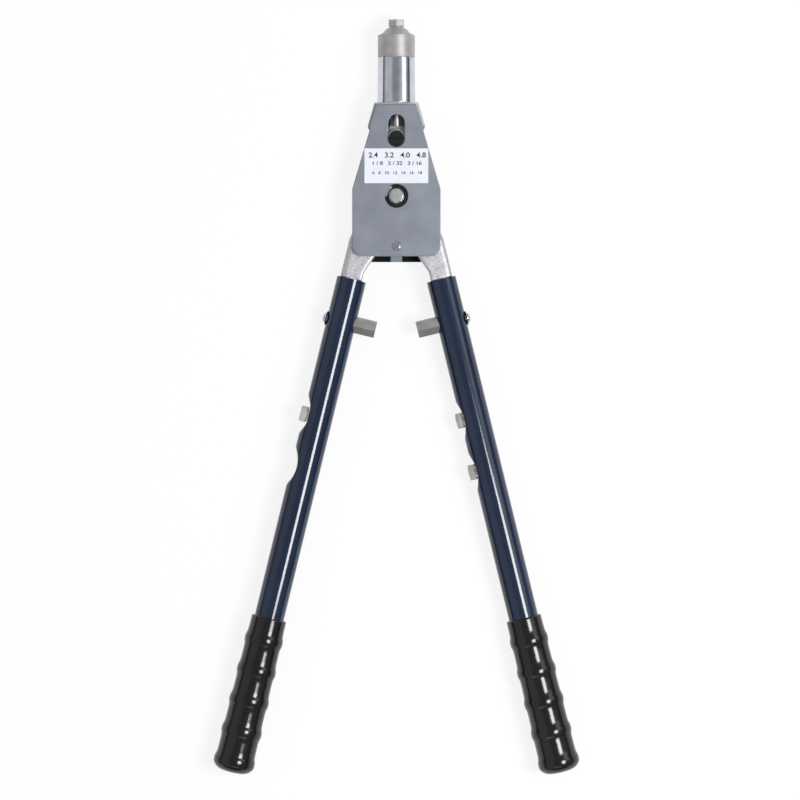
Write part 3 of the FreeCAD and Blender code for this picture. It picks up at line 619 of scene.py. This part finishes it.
def drill(piece, height, level, radius, length):
    """Cuts with a round cutter whose middle is at a height in the dent."""
    work = bmesh.new()
    bmesh.ops.create_cone(work, cap_ends=True, segments=CUTTER_STEPS, radius1=radius,
                          radius2=radius, depth=length)
    mesh = mesh_from(work, "cutter")
    mesh.transform(Matrix.Translation((-height, -level, 0)) @ TOWARDS_DENTS)
    cutter = new_piece("cutter", mesh)
    cut = piece.modifiers.new("drilled", "BOOLEAN")
    cut.operation = "DIFFERENCE"
    cut.object = cutter
    applied(piece)
    bpy.data.objects.remove(cutter)


for side in ("left", "right"):
    tube = new_piece(f"{side}_tube_pressed", tube_mesh(f"{side}_tube_pressed"))
    for dent in DENT_LEVELS:
        drill(tube, HOLE_CENTRE, dent, HOLE_RADIUS, HOLE_LENGTH)
        drill(tube, SEAT_HEIGHT + SEAT_LENGTH / 2, dent, SEAT_RADIUS, SEAT_LENGTH)
    tube.data.transform(tube_frame(side) @ Matrix.Rotation(DENT_TURN[side], 4, "Y"))
    shade_smooth(tube.data)
    tube.data.set_sharp_from_angle(angle=CUT_RIM_ANGLE)
    dress(tube, f"{side}_tube")
    print(tube.name, "faces:", len(tube.data.polygons))

# %% [markdown]
# ## Arm heads
# The arm heads are sand castings, so nothing on them is crisp. Remeshing the solid to small even
# quads and smoothing them a few times rounds each corner the way a casting's draught and tumbling
# do. A little noise then gives the skin its uneven swellings, a few millimetres wide. They go
# mostly inwards, so that the casting stays inside its solid.

# %% Soften the castings
CASTING_GRID = 0.6 * MM
SMOOTHING_PASSES = 12
SWELLING_WIDTH = 7 * MM
SWELLING = 0.25 * MM
MOSTLY_INWARDS = 0.75

swell = bpy.data.textures.new("casting_swell", "CLOUDS")
swell.noise_scale = SWELLING_WIDTH
for side in ("left", "right"):
    node = f"{side}_arm_head"
    piece = new_piece(f"{node}_cast", merged_mesh(node))
    grid = piece.modifiers.new("even_grid", "REMESH")
    grid.mode = "VOXEL"
    grid.voxel_size = CASTING_GRID
    soften = piece.modifiers.new("softened", "SMOOTH")
    soften.iterations = SMOOTHING_PASSES
    uneven = piece.modifiers.new("uneven_skin", "DISPLACE")
    uneven.texture = swell
    uneven.strength = SWELLING
    uneven.mid_level = MOSTLY_INWARDS
    shade_smooth(applied(piece).data)
    dress(piece, node)
    print(piece.name, "faces:", len(piece.data.polygons))

# %% [markdown]
# ## Grips
# A grip is one rule: a round sleeve that widens a little towards its end, with raised rings at an
# even pitch, a small rounded lip where it starts and a well rounded closed end. Geometry Nodes suit
# a rule like this. A mesh cylinder gives the levels, and its points are pushed out by a curve that
# is read once per ring. The pitch of the rings and the radii are inputs of the tree.

# %% Build the grip tree
GRIP_START = 315.3 * MM
GRIP_INPUTS = {
    "Length": 114.0 * MM,
    "Top Radius": 12.65 * MM,
    "Widening": 1.35 * MM,
    "First Ring": 16.7 * MM,
    "Ring Pitch": 22.375 * MM,
    "Ring Height": 1.05 * MM,
    "End Rounding": 5.6 * MM,
    "End Drop": 8.5 * MM,
    "Lip Rounding": 1.0 * MM,
}
GRIP_STEPS = 96
GRIP_LEVELS = 220
RING_SHAPE = ((0.16, 0.0), (0.28, 0.16), (0.42, 0.86), (0.5, 1.0),
              (0.58, 0.86), (0.72, 0.16), (0.84, 0.0))


def rounded_drop(tree, reach, rounding, drop):
    """How far a quarter round pulls the skin in, at a distance from the end."""
    share = add_node(tree, MATH, DIVIDE, i0=reach, i1=rounding)
    inside = add_node(tree, MATH, MINIMUM, i0=share, i1=1.0)
    fall = add_node(tree, MATH, SUBTRACT, i0=1.0, i1=inside)
    fall_squared = add_node(tree, MATH, MULTIPLY, i0=fall, i1=fall)
    square = add_node(tree, MATH, SUBTRACT, i0=1.0, i1=fall_squared)
    short = add_node(tree, MATH, SUBTRACT, i0=1.0, i1=add_node(tree, MATH, ROOT, i0=square))
    return add_node(tree, MATH, MULTIPLY, i0=short, i1=drop)


def ring_profile(tree, along, size):
    """How far the rings stand out at a distance along the grip, from 0 to 1."""
    from_first = add_node(tree, MATH, SUBTRACT, i0=along, i1=size["First Ring"])
    rings = add_node(tree, MATH, DIVIDE, i0=from_first, i1=size["Ring Pitch"])
    half_on = add_node(tree, MATH, ADD, i0=rings, i1=0.5)
    phase = add_node(tree, MATH, FRACTION, i0=half_on)
    ridge = add_node(tree, "ShaderNodeFloatCurve", Value=phase)
    points = ridge.mapping.curves[0].points
    points[0].location = (0.0, 0.0)
    points[1].location = (1.0, 0.0)
    for spot in RING_SHAPE:
        points.new(*spot)
    ridge.mapping.update()
    return ridge


def grip_tree(finish):
    tree = bpy.data.node_groups.new("ringed_grip", "GeometryNodeTree")
    tree.interface.new_socket("Geometry", in_out="OUTPUT", socket_type="NodeSocketGeometry")
    for name in GRIP_INPUTS:
        tree.interface.new_socket(name, in_out="INPUT", socket_type="NodeSocketFloat")
    size = add_node(tree, "NodeGroupInput").outputs
    skin = add_node(tree, "GeometryNodeMeshCylinder", {"fill_type": "TRIANGLE_FAN"},
                    Vertices=GRIP_STEPS, Side_Segments=GRIP_LEVELS, Fill_Segments=1,
                    Radius=1.0, Depth=1.0)
    position = add_node(tree, "GeometryNodeInputPosition")
    place = add_node(tree, "ShaderNodeSeparateXYZ", Vector=position).outputs
    share = add_node(tree, MATH, SUBTRACT, i0=0.5, i1=place["Z"])
    along = add_node(tree, MATH, MULTIPLY, i0=share, i1=size["Length"])
    left_over = add_node(tree, MATH, SUBTRACT, i0=size["Length"], i1=along)
    widening = add_node(tree, MATH, MULTIPLY, i0=share, i1=size["Widening"])
    ridge = ring_profile(tree, along, size)
    raised = add_node(tree, MATH, MULTIPLY, i0=ridge, i1=size["Ring Height"])
    end_drop = rounded_drop(tree, left_over, size["End Rounding"], size["End Drop"])
    lip_drop = rounded_drop(tree, along, size["Lip Rounding"], size["Lip Rounding"])
    radius = add_node(tree, MATH, ADD, i0=size["Top Radius"], i1=widening)
    radius = add_node(tree, MATH, ADD, i0=radius, i1=raised)
    radius = add_node(tree, MATH, SUBTRACT, i0=radius, i1=end_drop)
    radius = add_node(tree, MATH, SUBTRACT, i0=radius, i1=lip_drop)
    across = add_node(tree, MATH, MULTIPLY, i0=place["X"], i1=radius)
    level = add_node(tree, MATH, MULTIPLY, i0=along, i1=-1.0)
    upwards = add_node(tree, MATH, MULTIPLY, i0=place["Y"], i1=radius)
    moved = add_node(tree, "ShaderNodeCombineXYZ", X=across, Y=level, Z=upwards)
    shaped = add_node(tree, "GeometryNodeSetPosition", Geometry=skin, Position=moved)
    solid = add_node(tree, "GeometryNodeRealizeInstances", Geometry=shaped)
    dressed = add_node(tree, "GeometryNodeSetMaterial", Geometry=solid, Material=finish)
    add_node(tree, "NodeGroupOutput", Geometry=dressed)
    return tree


# %% Place the grips
END_EDGE_ANGLE = math.radians(50)
ringed_grip = grip_tree(finishes["black_vinyl"])
for side in ("left", "right"):
    grip = new_piece(f"{side}_grip_dipped", bpy.data.meshes.new(f"{side}_grip_dipped"))
    rule = grip.modifiers.new("ringed_grip", "NODES")
    rule.node_group = ringed_grip
    for item in ringed_grip.interface.items_tree:
        if item.item_type == "SOCKET" and item.in_out == "INPUT":
            rule[item.identifier] = GRIP_INPUTS[item.name]
    applied(grip)
    work = bmesh.new()
    work.from_mesh(grip.data)
    bmesh.ops.remove_doubles(work, verts=work.verts, dist=SAME_POINT)
    bmesh.ops.recalc_face_normals(work, faces=work.faces)
    work.to_mesh(grip.data)
    work.free()
    grip.data.transform(tube_frame(side) @ Matrix.Translation((0, -GRIP_START, 0)))
    shade_smooth(grip.data)
    grip.data.set_sharp_from_angle(angle=END_EDGE_ANGLE)
    dress(grip, f"{side}_grip")
    print(grip.name, "faces:", len(grip.data.polygons))

# %% [markdown]
# ## The label's print
# The white label carries three rows of plain rivet sizes. Each row is a text curve turned to a thin
# mesh, brought to its printed width and height, and laid on the film's face.

# %% Print rows of plain numbers
LABEL_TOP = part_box("label")[1].z
PRINT_THICKNESS = 0.03 * MM
PRINT_SHIFT = 0.6 * MM
STROKE_GAIN = 0.02
PRINT_ROWS = (
    # name, words, then width, height and level above the pivot in millimetres
    ("size_row_large", "2.4   3.2   4.0   4.8", 41, 3.8, 29.2),
    ("size_row_middle", "1 / 8   5 / 32   3 / 16", 35, 2.7, 23.4),
    ("size_row_small", "6   8   10   12   14   16   18", 35.5, 2.1, 16.5),
)


def print_row(name, words, width, height, level):
    """Lays one row of print. The text is one deep at first, so that its depth can be set too."""
    curve = bpy.data.curves.new(name, "FONT")
    curve.body = words
    curve.align_x = "CENTER"
    curve.extrude = 0.5
    curve.offset = STROKE_GAIN
    flat = new_piece(name + "_curve", curve)
    mesh = finished_mesh(flat)
    bpy.data.objects.remove(flat)
    xs = [vertex.co.x for vertex in mesh.vertices]
    ys = [vertex.co.y for vertex in mesh.vertices]
    centre = Matrix.Translation((-(max(xs) + min(xs)) / 2, -(max(ys) + min(ys)) / 2, 0))
    wide = width * MM / (max(xs) - min(xs))
    high = height * MM / (max(ys) - min(ys))
    grow = Matrix.Diagonal((wide, high, PRINT_THICKNESS, 1))
    spot = Matrix.Translation((PRINT_SHIFT, PIVOT.y + level * MM, LABEL_TOP))
    mesh.transform(spot @ grow @ centre)
    row = new_piece(name, mesh)
    mesh.materials.append(finishes["label_ink"])
    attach(row, "head")


for row in PRINT_ROWS:
    print_row(*row)
print("rows of print:", len(PRINT_ROWS))

# %% [markdown]
# ## The spring behind the jaws
# The spring sits between the rod and the jaws. It keeps the shape of its solid, gets its finish and
# a mesh of its own.

# %% Finish the spring
spring = new_piece("jaw_spring_pressed", merged_mesh("jaw_spring"))
dress(spring, "jaw_spring")
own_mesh(spring)

# %% [markdown]
# ## What stays as it is
# Inner pieces that barely show keep their own solids and only get their finish.

# %% Finish the remaining solids
kept = [node for node in nodes if not nodes[node].hide_render and f"{node}_finished" not in made]
for node in kept:
    nodes[node].data.materials.clear()
    nodes[node].data.materials.append(finishes[OWN_FINISH.get(node) or slot_of[node]])
print("solids that keep their own mesh:", len(kept))

# %% [markdown]
# ## Table
# The tool lies on a white table that glows, but only where the camera or polished metal sees it.
# The glow whitens the table without lighting the tool from below, which would wash out its
# undersides.

# %% Lay the table
TABLE_LEVEL = min(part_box("left_grip")[0].z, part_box("right_grip")[0].z)
TABLE_GAP = 0.2 * MM
TABLE_HALF = 4.0
TABLE_GLOW = 0.85
CENTRE = (0.0, -0.27, 0.0)

work = bmesh.new()
bmesh.ops.create_grid(work, x_segments=1, y_segments=1, size=TABLE_HALF)
table_mesh = mesh_from(work, "table")
table_mesh.transform(Matrix.Translation((0, CENTRE[1], TABLE_LEVEL - TABLE_GAP)))
table = new_piece("table", table_mesh)
table_paint, tree, shader, _ = new_material("white_table")
set_sockets(tree, shader, Base_Color=linear("f7f7f7"), Roughness=0.9)
ray = add_node(tree, "ShaderNodeLightPath").outputs
mirrored = add_node(tree, MATH, MAXIMUM, i0=ray["Is Glossy Ray"], i1=ray["Is Transmission Ray"])
seen = add_node(tree, MATH, MAXIMUM, i0=ray["Is Camera Ray"], i1=mirrored)
lit = add_node(tree, MATH, MULTIPLY, i0=seen, i1=TABLE_GLOW)
glow = add_node(tree, "ShaderNodeEmission", Color=(1, 1, 1, 1), Strength=1.0)
mixed = add_node(tree, "ShaderNodeMixShader", i0=lit, i1=shader, i2=glow)
set_sockets(tree, tree.nodes["Material Output"], Surface=mixed)
table.data.materials.append(table_paint)
print("table level in mm:", round(TABLE_LEVEL / MM, 2))

# %% [markdown]
# ## Light
# Polished metal shows the room more than its own colour, so the room is drawn first. Its ceiling
# is an even grey, which the flat plates give back. It is dark low down, and round metal needs that
# band: it is what draws the dark lines down the barrel. Its left side is paler and gives the tubes
# a soft edge there. One strong soft box high on the right then draws the long highlights down the
# tubes and grips, a weaker one lights the head, and two faint ones stand beyond the two ends.

# %% Light the room
# each height is the upward part of a direction, from level at 0 to straight up at 1, with its grey
ROOM_GREYS = ((0.0, 0.08), (0.16, 0.1), (0.34, 0.36), (0.8, 0.35), (1.0, 0.33))
ROOM_BLUENESS = 1.03
PALE_SIDE_FROM = -0.34
PALE_SIDE_FULL = -0.5
PALE_SIDE_LIGHT = 0.28
PALE_SIDE_RISE = (0.1, 0.3)

world = bpy.data.worlds.new("pale_room")
scene.world = world
world.use_nodes = True
tree = world.node_tree
toward = add_node(tree, "ShaderNodeTexCoord").outputs["Generated"]
axes = add_node(tree, "ShaderNodeSeparateXYZ", Vector=toward).outputs
room = add_node(tree, "ShaderNodeValToRGB", Fac=axes["Z"])
while len(room.color_ramp.elements) < len(ROOM_GREYS):
    room.color_ramp.elements.new(0.5)
for stop, (height, grey) in zip(room.color_ramp.elements, ROOM_GREYS):
    stop.position = height
    stop.color = (grey, grey, grey * ROOM_BLUENESS, 1)
leftness = add_node(tree, "ShaderNodeMapRange", Value=axes["X"], From_Min=PALE_SIDE_FROM,
                    From_Max=PALE_SIDE_FULL, To_Max=PALE_SIDE_LIGHT)
low, high = PALE_SIDE_RISE
raised_side = add_node(tree, "ShaderNodeMapRange", Value=axes["Z"], From_Min=low, From_Max=high)
pale_side = add_node(tree, MATH, MULTIPLY, i0=leftness, i1=raised_side)
sky = add_node(tree, "ShaderNodeMix", COLOUR_SUM, i0=1.0, i6=room, i7=pale_side)
set_sockets(tree, tree.nodes["Background"], Color=sky.outputs[2], Strength=1.0)


def add_lamp(name, place, target, size, power):
    """A rectangular soft box that faces its target. Its power is in watts."""
    lamp = bpy.data.lights.new(name, "AREA")
    lamp.shape = "RECTANGLE"
    lamp.size, lamp.size_y = size
    lamp.energy = power
    item = new_piece(name, lamp)
    item.location = place
    item.rotation_euler = (Vector(target) - Vector(place)).to_track_quat("-Z", "Y").to_euler()


HEAD_CENTRE = (0.0, -0.12, 0.0)
BETWEEN_GRIPS = (0.0, -0.49, 0.0)
LAMPS = (
    ("box_beyond_nose", (-0.2, 1.5, 1.5), CENTRE, (1.6, 0.8), 5),
    ("box_before_grips", (0.0, -2.1, 1.5), CENTRE, (1.6, 0.8), 5),
    ("soft_box_right", (1.3, 0.35, 1.2), HEAD_CENTRE, (1.2, 0.8), 4.5),
    ("key_box_right", (0.97, -0.49, 1.75), BETWEEN_GRIPS, (0.68, 0.62), 28),
)
for lamp in LAMPS:
    add_lamp(*lamp)
print("lamps:", len(LAMPS))

# %% [markdown]
# ## Camera
# The camera looks straight down from three metres, square to the tool, through a long lens, so the
# tool is drawn almost without perspective. Its place follows from one measured scale and from where
# the pivot lies in the frame.

# %% Place the camera
MM_PER_PIXEL = 0.718
FRAME_PIXELS = 800
PIVOT_PIXEL = (396.4, 196.6)
CAMERA_DISTANCE = 3.0
SENSOR = 36.0

camera_data = bpy.data.cameras.new("camera")
camera_data.sensor_width = SENSOR
view_width = FRAME_PIXELS * MM_PER_PIXEL * MM
camera_data.lens = SENSOR * CAMERA_DISTANCE / view_width
camera = new_piece("camera", camera_data)
half = FRAME_PIXELS / 2
camera.location = (
    PIVOT.x + (half - PIVOT_PIXEL[0]) * MM_PER_PIXEL * MM,
    PIVOT.y - (half - PIVOT_PIXEL[1]) * MM_PER_PIXEL * MM,
    CAMERA_DISTANCE,
)
camera.rotation_euler = (0, 0, 0)
scene.camera = camera
scene.view_settings.view_transform = "Standard"
print("lens in mm:", round(camera_data.lens, 1))
